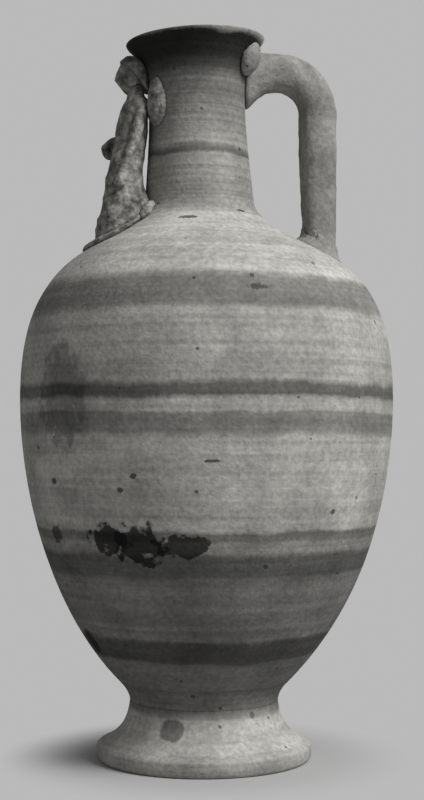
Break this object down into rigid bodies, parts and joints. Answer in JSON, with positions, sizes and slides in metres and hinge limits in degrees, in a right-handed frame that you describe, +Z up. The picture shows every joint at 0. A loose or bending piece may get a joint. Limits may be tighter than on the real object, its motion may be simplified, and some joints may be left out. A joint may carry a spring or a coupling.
{
  "type": "jug",
  "caption": "Tall handled pottery jug with a flaring lip, spreading foot, painted bands and a small modelled figure holding a juglet on its shoulder.",
  "frame": {"origin": "centre of the jug's overall box, on the plane its foot stands on", "axes": "+Z up along the jug's axis, +X towards the handle, -X towards the figure"},
  "size_m": [0.1974, 0.1974, 0.3818],
  "materials": {
    "body_clay": "matt fired clay with painted bands",
    "shoulder_clay": "matt pale slip over fired clay",
    "foot_clay": "matt fired clay, worn",
    "neck_clay": "matt fired clay with turning marks",
    "handle_clay": "matt hand-rolled fired clay",
    "figure_clay": "matt hand-modelled fired clay, dark"
  },
  "bodies": {
    "root": {"foot": "foot_clay", "lower_body": "body_clay", "upper_body": "shoulder_clay", "neck": "neck_clay", "handle": "handle_clay", "handle_lug_near": "handle_clay", "handle_lug_far": "handle_clay", "handle_collar": "handle_clay", "figure_bed": "figure_clay", "figure_body": "figure_clay", "figure_head": "figure_clay", "figure_veil": "figure_clay", "figure_left_arm": "figure_clay", "juglet": "figure_clay", "figure_right_arm": "figure_clay", "neck_pad": "figure_clay", "skirt_strip": "figure_clay"}
  },
  "joints": []
}
